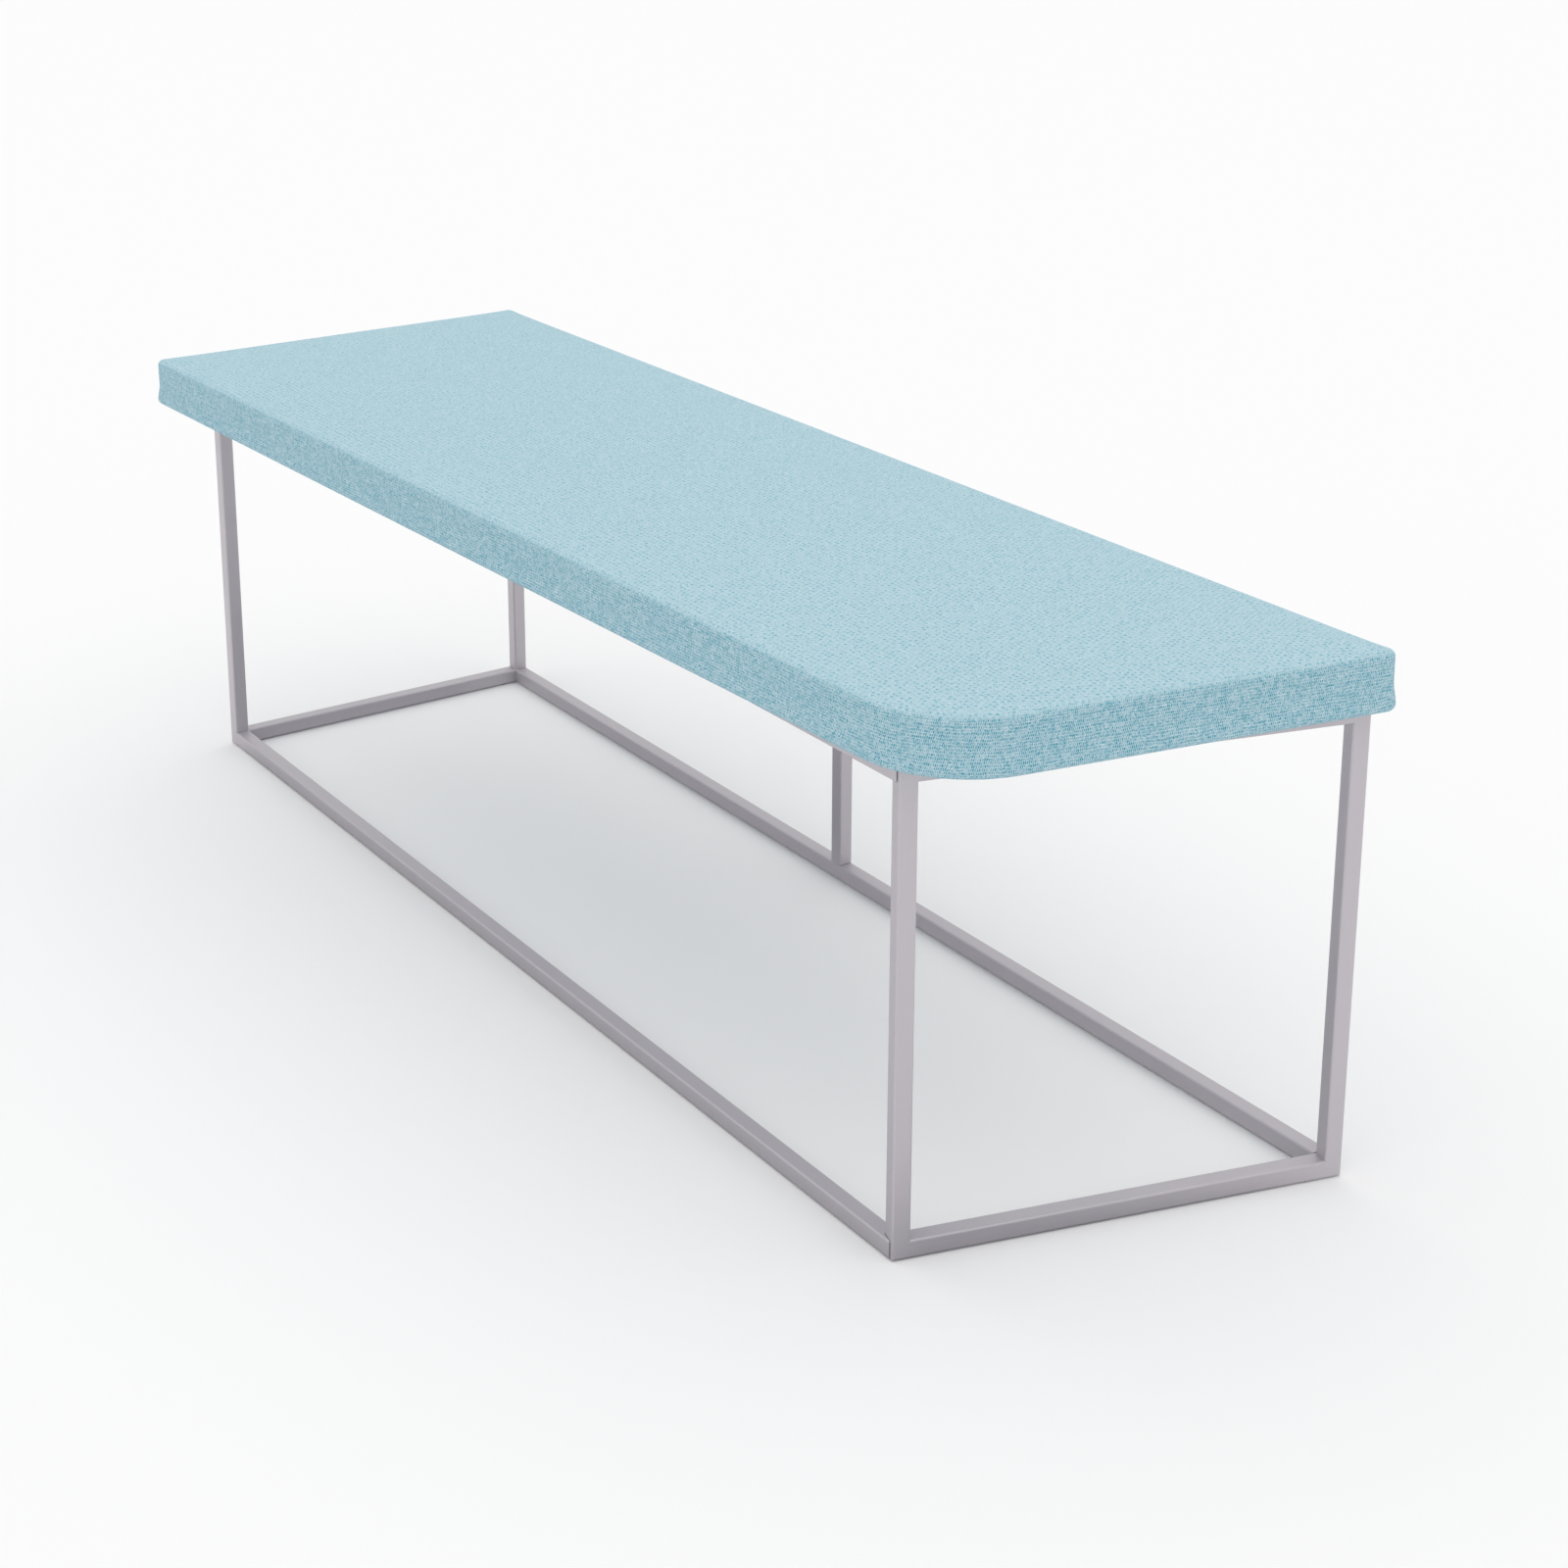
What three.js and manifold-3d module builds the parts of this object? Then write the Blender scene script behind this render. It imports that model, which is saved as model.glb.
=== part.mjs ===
// Luggage bench: an upholstered pad on an open frame of square steel tube, with a slanted right end.
// Millimetres, +Z up. +X runs along the bench to the slanted end, +Y to the back.
// The origin is on the floor, under the middle of the pad's plan.

import * as THREE from 'three';
import { mergeVertices } from 'three/addons/utils/BufferGeometryUtils.js';
import Module from 'manifold-3d';

const wasm = await Module();
wasm.setup();

// Frame of square tube
const TUBE = 15;
const TUBE_WALL = 1.5;
const TUBE_EDGE_RADIUS = 1.8;
const TUBE_BORE_RADIUS = 0.5;
const FRAME_HEIGHT = 400;
const FRAME_DEPTH = 369;
const FRONT_LENGTH = 1231;
const END_SLANT = THREE.MathUtils.degToRad(15.6);
const RIGHT_LOOP_LENGTH = 381;
const MIDDLE_LEG_X = 657;
const RAIL_LAP = 4; // the front rails stop this far short of the slanted leg's outer corner
const FIT = 0.3; // gap that neighbouring pieces keep

// Floor glides
const GLIDE_RADIUS = 5.5;
const GLIDE_HEIGHT = 0.9;
const GLIDE_STEM_RADIUS = 3;
const GLIDE_BARB_RADIUS = 3.6;
const GLIDE_BARB_LENGTH = 4;
const GLIDE_FROM_CORNER = 30;

// Pad, measured from the frame's outer faces
const PAD_THICKNESS = 50;
const PAD_CROWN = 2;
const PAD_CROWN_REACH = 150; // the crown rises over this distance in from the edge
const PAD_LEFT_OVERHANG = 2.5;
const PAD_BACK_OVERHANG = 2;
const PAD_FRONT_OVERHANG_LEFT = 63;
const PAD_FRONT_OVERHANG_RIGHT = 19.6;
const PAD_END_OVERHANG = 56.5;
const PAD_END_SLANT = THREE.MathUtils.degToRad(11);
const PAD_CORNER_RADIUS = 9.4;
const PAD_ROUND_CORNER_RADIUS = 95;
const PAD_EDGE_RADIUS = 6.7;

// Layers of the pad
const FABRIC = 1.2;
const FABRIC_TURN_UNDER = 22;
const WADDING = 3;
const BOARD = 15;
const BOARD_EDGE_RADIUS = 3;
const LINING = 0.8;

// Fixings of the pad
const TAB_WIDTH = 30;
const TAB_DEPTH = 22;
const TAB_THICKNESS = 3;
const TAB_CORNER_RADIUS = 5;
const TAB_STATIONS = [125, 625, 1125];
const SCREW_RADIUS = 3;
const SCREW_LENGTH = 18;
const SCREW_HEAD_RADIUS = 5.8;
const SCREW_HEAD_HEIGHT = 4;
const TEE_NUT_FLANGE_RADIUS = 9.5;
const TEE_NUT_FLANGE = 1.3;
const TEE_NUT_BARREL_RADIUS = 4.2;
const TEE_NUT_LENGTH = 10;
const LINING_HOLE_RADIUS = 7;

// Levels that follow from the sizes above
const FRAME_BOTTOM = GLIDE_HEIGHT + FIT;
const FRAME_TOP = FRAME_BOTTOM + FRAME_HEIGHT;
const PAD_BOTTOM = FRAME_TOP + FIT;
const PAD_TOP = PAD_BOTTOM + PAD_THICKNESS;
const BOARD_BOTTOM = PAD_BOTTOM + FABRIC + FIT;
const BOARD_TOP = BOARD_BOTTOM + BOARD;
const WADDING_INSET = FABRIC + FIT;
const FOAM_INSET = WADDING_INSET + WADDING + FIT;

const ROUND_STEPS = 16;

const FINISHES = {
  painted: { color: 0xb3adb2, roughness: 0.45, metalness: 0.25 },
  zinc: { color: 0xb9bcc0, roughness: 0.35, metalness: 0.9 },
  nylon: { color: 0x8d8a8e, roughness: 0.6, metalness: 0 },
  plywood: { color: 0xc9a97c, roughness: 0.75, metalness: 0 },
  foam: { color: 0xe8e2c8, roughness: 0.95, metalness: 0 },
  wadding: { color: 0xf3f2ee, roughness: 1, metalness: 0 },
  woven: { color: 0xa3c9d6, roughness: 0.95, metalness: 0 },
  lining: { color: 0xc2d0d6, roughness: 0.9, metalness: 0 },
};

const bench = new THREE.Group();

function addPiece(parent, name, geometry, finish) {
  const mesh = new THREE.Mesh(geometry, new THREE.MeshStandardMaterial(FINISHES[finish]));
  mesh.name = name;
  parent.add(mesh);
  return mesh;
}

// Solids for cutting

function toSolid(geometry) {
  const bare = geometry.clone();
  bare.deleteAttribute('normal');
  bare.deleteAttribute('uv');
  const merged = mergeVertices(bare);
  return new wasm.Manifold(new wasm.Mesh({
    numProp: 3,
    vertProperties: Float32Array.from(merged.attributes.position.array),
    triVerts: Uint32Array.from(merged.index.array),
  }));
}

function toGeometry(solid) {
  const { vertProperties, triVerts } = solid.getMesh();
  const geometry = new THREE.BufferGeometry();
  geometry.setAttribute('position', new THREE.BufferAttribute(vertProperties, 3));
  geometry.setIndex(new THREE.BufferAttribute(triVerts, 1));
  return withFlatNormals(geometry);
}

function withFlatNormals(geometry) {
  const loose = geometry.toNonIndexed();
  loose.computeVertexNormals();
  return loose;
}

function cut(geometry, tools) {
  let solid = toSolid(geometry);
  for (const tool of tools) {
    solid = solid.subtract(toSolid(tool));
  }
  return toGeometry(solid);
}

function boxBetween(low, high) {
  const size = high.clone().sub(low);
  const centre = low.clone().add(high).multiplyScalar(0.5);
  return new THREE.BoxGeometry(size.x, size.y, size.z).translate(centre.x, centre.y, centre.z);
}

// A round bar or hole with its axis along Z
function roundBar(radius, low, high) {
  const bar = new THREE.CylinderGeometry(radius, radius, high - low, ROUND_STEPS);
  return bar.rotateX(Math.PI / 2).translate(0, 0, (low + high) / 2);
}

// A solid of revolution about Z from a closed profile of (radius, height) pairs
function turned(profile) {
  const points = profile.map(([radius, height]) => new THREE.Vector2(radius, height));
  return new THREE.LatheGeometry(points, ROUND_STEPS).rotateX(Math.PI / 2);
}

// Square tube

function roundedSquare(path, low, high, radius) {
  path.moveTo(low + radius, low);
  path.lineTo(high - radius, low);
  path.absarc(high - radius, low + radius, radius, -Math.PI / 2, 0);
  path.lineTo(high, high - radius);
  path.absarc(high - radius, high - radius, radius, 0, Math.PI / 2);
  path.lineTo(low + radius, high);
  path.absarc(low + radius, high - radius, radius, Math.PI / 2, Math.PI);
  path.lineTo(low, low + radius);
  path.absarc(low + radius, low + radius, radius, Math.PI, Math.PI * 1.5);
  return path;
}

const tubeSection = roundedSquare(new THREE.Shape(), 0, TUBE, TUBE_EDGE_RADIUS);
tubeSection.holes.push(
  roundedSquare(new THREE.Path(), TUBE_WALL, TUBE - TUBE_WALL, TUBE_BORE_RADIUS),
);

// A tube along +X, hollow from end to end. A mitred tube is cut at 45 degrees at both ends,
// so that its lower face, the outer one of a loop, has the full length.
function tube(length, mitred = false) {
  const geometry = new THREE.ExtrudeGeometry(tubeSection, {
    depth: length,
    bevelEnabled: false,
    curveSegments: 3,
  });
  const along = new THREE.Vector3(1, 0, 0);
  const across = new THREE.Vector3(0, 1, 0);
  const up = new THREE.Vector3(0, 0, 1);
  geometry.applyMatrix4(new THREE.Matrix4().makeBasis(across, up, along));
  if (mitred) {
    const position = geometry.attributes.position;
    const halfGap = (FIT / 2) * Math.SQRT2;
    for (let i = 0; i < position.count; i += 1) {
      const setBack = position.getZ(i) + halfGap;
      const atStart = position.getX(i) < length / 2;
      position.setX(i, atStart ? setBack : length - setBack);
    }
    geometry.computeVertexNormals();
  }
  return geometry;
}

// A hole through the lower wall of a tube for a glide's stem
function glideHole(x) {
  return roundBar(GLIDE_STEM_RADIUS + FIT, -TUBE_WALL, TUBE_WALL * 2).translate(x, TUBE / 2, 0);
}

// End loops: four mitred tubes each, in a group whose X runs along the end from front to back

function addEndLoop(side, length, glideStations) {
  const loop = new THREE.Group();
  const corners = [
    ['bottom_rail', length, 0, 0],
    ['back_leg', FRAME_HEIGHT, length, 0],
    ['top_rail', length, length, FRAME_HEIGHT],
    ['front_leg', FRAME_HEIGHT, 0, FRAME_HEIGHT],
  ];
  corners.forEach(([piece, run, x, z], quarter) => {
    let geometry = tube(run, true);
    if (piece === 'bottom_rail') {
      geometry = cut(geometry, glideStations.map(glideHole));
    }
    const mesh = addPiece(loop, `${side}_${piece}`, geometry, 'painted');
    mesh.position.set(x, 0, z);
    mesh.rotation.y = -quarter * Math.PI / 2;
  });
  bench.add(loop);
  return loop;
}

function endGlideStations(length) {
  return [GLIDE_FROM_CORNER, length - GLIDE_FROM_CORNER];
}

const leftLoop = addEndLoop('left', FRAME_DEPTH, endGlideStations(FRAME_DEPTH));
leftLoop.position.set(TUBE, 0, FRAME_BOTTOM);
leftLoop.rotation.z = Math.PI / 2;

const rightLoop = addEndLoop('right', RIGHT_LOOP_LENGTH, endGlideStations(RIGHT_LOOP_LENGTH));
rightLoop.position.set(FRONT_LENGTH, 0, FRAME_BOTTOM);
rightLoop.rotation.z = Math.PI / 2 - END_SLANT;

// Long rails: square at the left end, fitted to the slanted loop at the right end

const middleOfLeg = MIDDLE_LEG_X + TUBE / 2;

function rightLoopCutter(startAlong, level) {
  const reach = TUBE * 4;
  const cutter = boxBetween(
    new THREE.Vector3(startAlong, -reach, -TUBE),
    new THREE.Vector3(RIGHT_LOOP_LENGTH + reach, TUBE + FIT, TUBE * 2),
  );
  return cutter.rotateZ(rightLoop.rotation.z).translate(FRONT_LENGTH, 0, level);
}

function addLongRails(level, height) {
  const start = TUBE + FIT;
  const needsGlide = height === 'bottom';
  const holeAt = glideHole(middleOfLeg);

  const frontRail = tube(FRONT_LENGTH - RAIL_LAP - start).translate(start, 0, level);
  const frontCuts = [rightLoopCutter(-FIT, level)];
  if (needsGlide) {
    frontCuts.push(holeAt.clone().translate(0, 0, level));
  }
  addPiece(bench, `front_${height}_rail`, cut(frontRail, frontCuts), 'painted');

  const backY = FRAME_DEPTH - TUBE;
  const backReach = FRONT_LENGTH + RIGHT_LOOP_LENGTH * Math.sin(END_SLANT);
  const backRail = tube(backReach - start).translate(start, backY, level);
  const backCuts = [rightLoopCutter(RIGHT_LOOP_LENGTH / 2, level)];
  if (needsGlide) {
    backCuts.push(holeAt.clone().translate(0, backY, level));
  }
  addPiece(bench, `back_${height}_rail`, cut(backRail, backCuts), 'painted');
}

addLongRails(FRAME_BOTTOM, 'bottom');
addLongRails(FRAME_TOP - TUBE, 'top');

const middleLeg = addPiece(
  bench,
  'back_middle_leg',
  tube(FRAME_HEIGHT - 2 * (TUBE + FIT)),
  'painted',
);
middleLeg.position.set(MIDDLE_LEG_X + TUBE, FRAME_DEPTH - TUBE, FRAME_BOTTOM + TUBE + FIT);
middleLeg.rotation.y = -Math.PI / 2;

const crossRail = addPiece(
  bench,
  'seat_cross_rail',
  tube(FRAME_DEPTH - 2 * (TUBE + FIT)),
  'painted',
);
crossRail.position.set(MIDDLE_LEG_X + TUBE, TUBE + FIT, FRAME_TOP - TUBE);
crossRail.rotation.z = Math.PI / 2;

// Push-in floor glides: a flat head on the floor and a barbed stem inside the tube

function floorGlide() {
  const wallTop = GLIDE_HEIGHT + FIT + TUBE_WALL + FIT;
  const tip = wallTop + GLIDE_BARB_LENGTH;
  return turned([
    [0, 0],
    [GLIDE_RADIUS - GLIDE_HEIGHT / 2, 0],
    [GLIDE_RADIUS, GLIDE_HEIGHT / 2],
    [GLIDE_RADIUS, GLIDE_HEIGHT],
    [GLIDE_STEM_RADIUS, GLIDE_HEIGHT],
    [GLIDE_STEM_RADIUS, wallTop],
    [GLIDE_BARB_RADIUS, wallTop],
    [GLIDE_STEM_RADIUS * 0.8, tip],
    [0, tip],
  ]);
}

function addGlide(name, loop, x, y) {
  const glide = addPiece(loop, name, floorGlide(), 'nylon');
  const onFloor = loop === bench ? 0 : -FRAME_BOTTOM;
  glide.position.set(x, y, onFloor);
}

for (const [side, loop, length] of [
  ['left', leftLoop, FRAME_DEPTH],
  ['right', rightLoop, RIGHT_LOOP_LENGTH],
]) {
  const [front, back] = endGlideStations(length);
  addGlide(`${side}_front_floor_glide`, loop, front, TUBE / 2);
  addGlide(`${side}_back_floor_glide`, loop, back, TUBE / 2);
}
addGlide('middle_front_floor_glide', bench, middleOfLeg, TUBE / 2);
addGlide('middle_back_floor_glide', bench, middleOfLeg, FRAME_DEPTH - TUBE / 2);

// Outline of the pad: four straight edges, in order round the plan, with the inside on the left

function padEdge(x, y, dx, dy) {
  return { point: new THREE.Vector2(x, y), direction: new THREE.Vector2(dx, dy).normalize() };
}

const skew = PAD_FRONT_OVERHANG_LEFT - PAD_FRONT_OVERHANG_RIGHT;
const frontEdge = padEdge(0, -PAD_FRONT_OVERHANG_LEFT, FRONT_LENGTH, skew);
const endEdge = padEdge(
  FRONT_LENGTH + PAD_END_OVERHANG,
  0,
  Math.sin(PAD_END_SLANT),
  Math.cos(PAD_END_SLANT),
);
const backEdge = padEdge(0, FRAME_DEPTH + PAD_BACK_OVERHANG, -1, 0);
const leftEdge = padEdge(-PAD_LEFT_OVERHANG, 0, 0, -1);

const padCorners = [
  { before: leftEdge, after: frontEdge, radius: PAD_CORNER_RADIUS, steps: 5 },
  { before: frontEdge, after: endEdge, radius: PAD_ROUND_CORNER_RADIUS, steps: 12 },
  { before: endEdge, after: backEdge, radius: PAD_CORNER_RADIUS, steps: 6 },
  { before: backEdge, after: leftEdge, radius: PAD_CORNER_RADIUS, steps: 5 },
];

// The point where two edges meet after both are moved inwards
function crossing(first, second, inset) {
  const [a, b] = [first, second].map(({ point, direction }) =>
    new THREE.Vector2(point.x - direction.y * inset, point.y + direction.x * inset));
  const gap = b.sub(a);
  const along = gap.cross(second.direction) / first.direction.cross(second.direction);
  return a.addScaledVector(first.direction, along);
}

function outwardAngle({ direction }) {
  return Math.atan2(-direction.x, direction.y);
}

const SHARPEST_CORNER = 0.4;

function padOutline(inset) {
  const points = [];
  for (const { before, after, radius, steps } of padCorners) {
    const arcRadius = Math.max(radius - inset, SHARPEST_CORNER);
    const centre = crossing(before, after, inset + arcRadius);
    const start = outwardAngle(before);
    const turn = THREE.MathUtils.euclideanModulo(outwardAngle(after) - start, Math.PI * 2);
    for (let i = 0; i <= steps; i += 1) {
      const angle = start + (turn * i) / steps;
      const arm = new THREE.Vector2(Math.cos(angle), Math.sin(angle)).multiplyScalar(arcRadius);
      points.push(arm.add(centre));
    }
  }
  return points;
}

// A solid lofted through rings of the pad's outline, each given as [inset, height].
// The first ring is closed by a face looking down, the last by a face looking up.
function padLoft(rings) {
  const outlines = rings.map(([inset]) => padOutline(inset));
  const count = outlines[0].length;
  const positions = outlines.flatMap((outline, ring) =>
    outline.flatMap(({ x, y }) => [x, y, rings[ring][1]]));
  const faces = [];
  for (let ring = 0; ring + 1 < rings.length; ring += 1) {
    for (let i = 0; i < count; i += 1) {
      const next = (i + 1) % count;
      const [a, b] = [ring * count + i, ring * count + next];
      faces.push(a, b, b + count, a, b + count, a + count);
    }
  }
  const lastRing = (rings.length - 1) * count;
  for (const [a, b, c] of THREE.ShapeUtils.triangulateShape(outlines[0], [])) {
    faces.push(a, c, b);
  }
  for (const [a, b, c] of THREE.ShapeUtils.triangulateShape(outlines.at(-1), [])) {
    faces.push(lastRing + a, lastRing + b, lastRing + c);
  }
  const geometry = new THREE.BufferGeometry();
  geometry.setAttribute('position', new THREE.Float32BufferAttribute(positions, 3));
  geometry.setIndex(faces);
  return withFlatNormals(geometry);
}

// Profile of one skin of the pad, at a depth under the fabric's face, from the foot up to the crown

const EDGE_STEPS = 5;
const CROWN_STOPS = [0.12, 0.3, 0.55, 1];

function crownHeight(reach) {
  return PAD_CROWN * (1 - (1 - reach) ** 2);
}

function lowerRoll(depth) {
  const radius = PAD_EDGE_RADIUS - depth;
  return Array.from({ length: EDGE_STEPS + 1 }, (_, i) => {
    const angle = (Math.PI / 2) * (i / EDGE_STEPS);
    return [
      PAD_EDGE_RADIUS - radius * Math.sin(angle),
      PAD_BOTTOM + PAD_EDGE_RADIUS - radius * Math.cos(angle),
    ];
  });
}

function upperRollAndCrown(depth) {
  const radius = PAD_EDGE_RADIUS - depth;
  const roll = Array.from({ length: EDGE_STEPS + 1 }, (_, i) => {
    const angle = (Math.PI / 2) * (i / EDGE_STEPS);
    return [
      PAD_EDGE_RADIUS - radius * Math.cos(angle),
      PAD_TOP - PAD_EDGE_RADIUS + radius * Math.sin(angle),
    ];
  });
  const crown = CROWN_STOPS.map((reach) => [
    PAD_EDGE_RADIUS + reach * PAD_CROWN_REACH,
    PAD_TOP - depth + crownHeight(reach),
  ]);
  return [...roll, ...crown];
}

// Fabric: inner face from the crown down, turned under the board, then the outer face back up
const fabricInside = [...lowerRoll(FABRIC), ...upperRollAndCrown(FABRIC)].reverse();
const fabricOutside = [...lowerRoll(0), ...upperRollAndCrown(0)];
addPiece(
  bench,
  'fabric_cover',
  padLoft([
    ...fabricInside,
    [FABRIC_TURN_UNDER, PAD_BOTTOM + FABRIC],
    [FABRIC_TURN_UNDER, PAD_BOTTOM],
    ...fabricOutside,
  ]),
  'woven',
);

// Wadding: over the foam and down the edge of the board
const waddingFoot = PAD_BOTTOM + PAD_EDGE_RADIUS;
addPiece(
  bench,
  'wadding_wrap',
  padLoft([
    ...upperRollAndCrown(WADDING_INSET + WADDING).reverse(),
    [WADDING_INSET + WADDING, waddingFoot],
    [WADDING_INSET, waddingFoot],
    ...upperRollAndCrown(WADDING_INSET),
  ]),
  'wadding',
);

addPiece(
  bench,
  'foam_pad',
  padLoft([[FOAM_INSET, BOARD_TOP + FIT], ...upperRollAndCrown(FOAM_INSET)]),
  'foam',
);

// Fixing stations: the screw axes, inside the front and back top rails
const tabReach = TUBE + FIT + TAB_DEPTH / 2;
const fixings = [
  ...TAB_STATIONS.map((x, i) => ({ name: `front_${i + 1}`, x, y: tabReach, turn: 0 })),
  ...TAB_STATIONS.map((x, i) => ({ name: `back_${i + 1}`, x, y: FRAME_DEPTH - tabReach, turn: Math.PI })),
];

// Board with a rounded lower edge and a stepped hole for each tee nut
function boardHole({ x, y }) {
  const flangeSeat = BOARD_TOP - TEE_NUT_FLANGE - FIT;
  const bore = TEE_NUT_BARREL_RADIUS + FIT;
  const above = BOARD_TOP + FIT;
  const below = BOARD_BOTTOM - FIT;
  const hole = turned([
    [0, below],
    [bore, below],
    [bore, flangeSeat],
    [TEE_NUT_FLANGE_RADIUS + FIT, flangeSeat],
    [TEE_NUT_FLANGE_RADIUS + FIT, above],
    [0, above],
  ]);
  return hole.translate(x, y, 0);
}

const boardEdge = Array.from({ length: EDGE_STEPS }, (_, i) => {
  const angle = (Math.PI / 2) * (i / (EDGE_STEPS - 1));
  return [
    FOAM_INSET + BOARD_EDGE_RADIUS * (1 - Math.sin(angle)),
    BOARD_BOTTOM + BOARD_EDGE_RADIUS * (1 - Math.cos(angle)),
  ];
});
const board = padLoft([...boardEdge, [FOAM_INSET, BOARD_TOP]]);
addPiece(bench, 'base_board', cut(board, fixings.map(boardHole)), 'plywood');

// Lining inside the turned edge of the fabric, holed for the screws
const liningBottom = PAD_BOTTOM + FIT;
const liningInset = FABRIC_TURN_UNDER + FIT;
const lining = padLoft([[liningInset, liningBottom], [liningInset, liningBottom + LINING]]);
const liningHoles = fixings.map(({ x, y }) =>
  roundBar(LINING_HOLE_RADIUS, PAD_BOTTOM, BOARD_BOTTOM).translate(x, y, 0));
addPiece(bench, 'underside_lining', cut(lining, liningHoles), 'lining');

// Steel tabs, flush with the top of the rails, with the weld edge square and the free corners round
function seatTab() {
  const half = TAB_WIDTH / 2;
  const free = TAB_DEPTH / 2;
  const plate = new THREE.Shape();
  plate.moveTo(-half, -free);
  plate.lineTo(half, -free);
  plate.lineTo(half, free - TAB_CORNER_RADIUS);
  plate.absarc(half - TAB_CORNER_RADIUS, free - TAB_CORNER_RADIUS, TAB_CORNER_RADIUS, 0, Math.PI / 2);
  plate.lineTo(-half + TAB_CORNER_RADIUS, free);
  plate.absarc(
    -half + TAB_CORNER_RADIUS,
    free - TAB_CORNER_RADIUS,
    TAB_CORNER_RADIUS,
    Math.PI / 2,
    Math.PI,
  );
  plate.closePath();
  plate.holes.push(new THREE.Path().absarc(0, 0, SCREW_RADIUS + FIT, 0, Math.PI * 2));
  return new THREE.ExtrudeGeometry(plate, {
    depth: TAB_THICKNESS,
    bevelEnabled: false,
    curveSegments: 5,
  });
}

// Hexagon head under a plain shank
function seatScrew() {
  const head = new THREE.CylinderGeometry(SCREW_HEAD_RADIUS, SCREW_HEAD_RADIUS, SCREW_HEAD_HEIGHT, 6);
  head.rotateX(Math.PI / 2).translate(0, 0, -SCREW_HEAD_HEIGHT / 2);
  const shank = roundBar(SCREW_RADIUS, -SCREW_HEAD_HEIGHT / 2, SCREW_LENGTH);
  return toGeometry(toSolid(head).add(toSolid(shank)));
}

// Flanged nut whose barrel points down into the board
function teeNut() {
  const bore = SCREW_RADIUS + FIT;
  return turned([
    [bore, -TEE_NUT_LENGTH],
    [TEE_NUT_BARREL_RADIUS, -TEE_NUT_LENGTH],
    [TEE_NUT_BARREL_RADIUS, -TEE_NUT_FLANGE],
    [TEE_NUT_FLANGE_RADIUS, -TEE_NUT_FLANGE],
    [TEE_NUT_FLANGE_RADIUS, 0],
    [bore, 0],
    [bore, -TEE_NUT_LENGTH],
  ]);
}

for (const { name, x, y, turn } of fixings) {
  const tab = addPiece(bench, `seat_tab_${name}`, seatTab(), 'painted');
  tab.position.set(x, y, FRAME_TOP - TAB_THICKNESS);
  tab.rotation.z = turn;
  const screw = addPiece(bench, `seat_screw_${name}`, seatScrew(), 'zinc');
  screw.position.set(x, y, FRAME_TOP - TAB_THICKNESS - FIT);
  const nut = addPiece(bench, `tee_nut_${name}`, teeNut(), 'zinc');
  nut.position.set(x, y, BOARD_TOP);
}

// The plan's middle goes to the origin
const middle = new THREE.Box2().setFromPoints(padOutline(0)).getCenter(new THREE.Vector2());
bench.position.set(-middle.x, -middle.y, 0);

export default bench;
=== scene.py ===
"""Luggage bench: a firm woven pad on an open frame of slim square tube, dressed round its CAD frame.

Metres, +Z up. +X runs along the bench to the slanted end, +Y to the back.
"""

import logging
import math
from dataclasses import dataclass, field
from enum import Enum
from typing import Iterable, Sequence, Union

import bpy
import numpy as np
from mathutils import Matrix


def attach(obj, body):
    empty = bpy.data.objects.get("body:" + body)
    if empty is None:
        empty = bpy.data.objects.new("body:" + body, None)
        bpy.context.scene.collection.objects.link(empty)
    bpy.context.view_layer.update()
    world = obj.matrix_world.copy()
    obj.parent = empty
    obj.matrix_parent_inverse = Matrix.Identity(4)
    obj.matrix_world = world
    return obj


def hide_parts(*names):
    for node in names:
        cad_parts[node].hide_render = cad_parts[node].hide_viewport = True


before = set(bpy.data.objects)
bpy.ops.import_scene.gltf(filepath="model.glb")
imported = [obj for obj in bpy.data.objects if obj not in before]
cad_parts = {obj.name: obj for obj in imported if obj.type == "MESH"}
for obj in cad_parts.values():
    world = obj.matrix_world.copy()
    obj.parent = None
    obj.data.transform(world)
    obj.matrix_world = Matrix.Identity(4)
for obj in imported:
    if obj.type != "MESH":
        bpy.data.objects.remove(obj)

LOG = logging.getLogger("bench")
BODY = "root"
MM_PER_M = 1000.0
QUARTER_TURN = math.pi / 2
TINY = 1e-9

Colour = tuple[float, float, float]
Span = tuple[float, float]
Stretch = tuple[float, float, float]
Socket = bpy.types.NodeSocket
Value = Union[Socket, float]
Inputs = dict[Union[str, int], Union[Value, Sequence[float]]]


class Layer(Enum):
    """Names of the mesh layers that the cloth materials read."""

    WEAVE = "weave"
    SIDE = "side"


class Draw(Enum):
    """The weave's random draws, each with a number of its own."""

    ROW_SHIFT = 1.0
    OPENING = 2.0
    PICK = 3.0
    PICK_RUN = 4.0
    DOT_ALONG = 5.0
    DOT_ACROSS = 6.0
    DOT_DEPTH = 7.0


@dataclass(frozen=True)
class Grain:
    """A noise: features per unit of its vector, octaves, and the share of each finer octave."""

    scale: float = 1.0
    detail: float = 2.0
    roughness: float = 0.5


# Node trees


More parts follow.
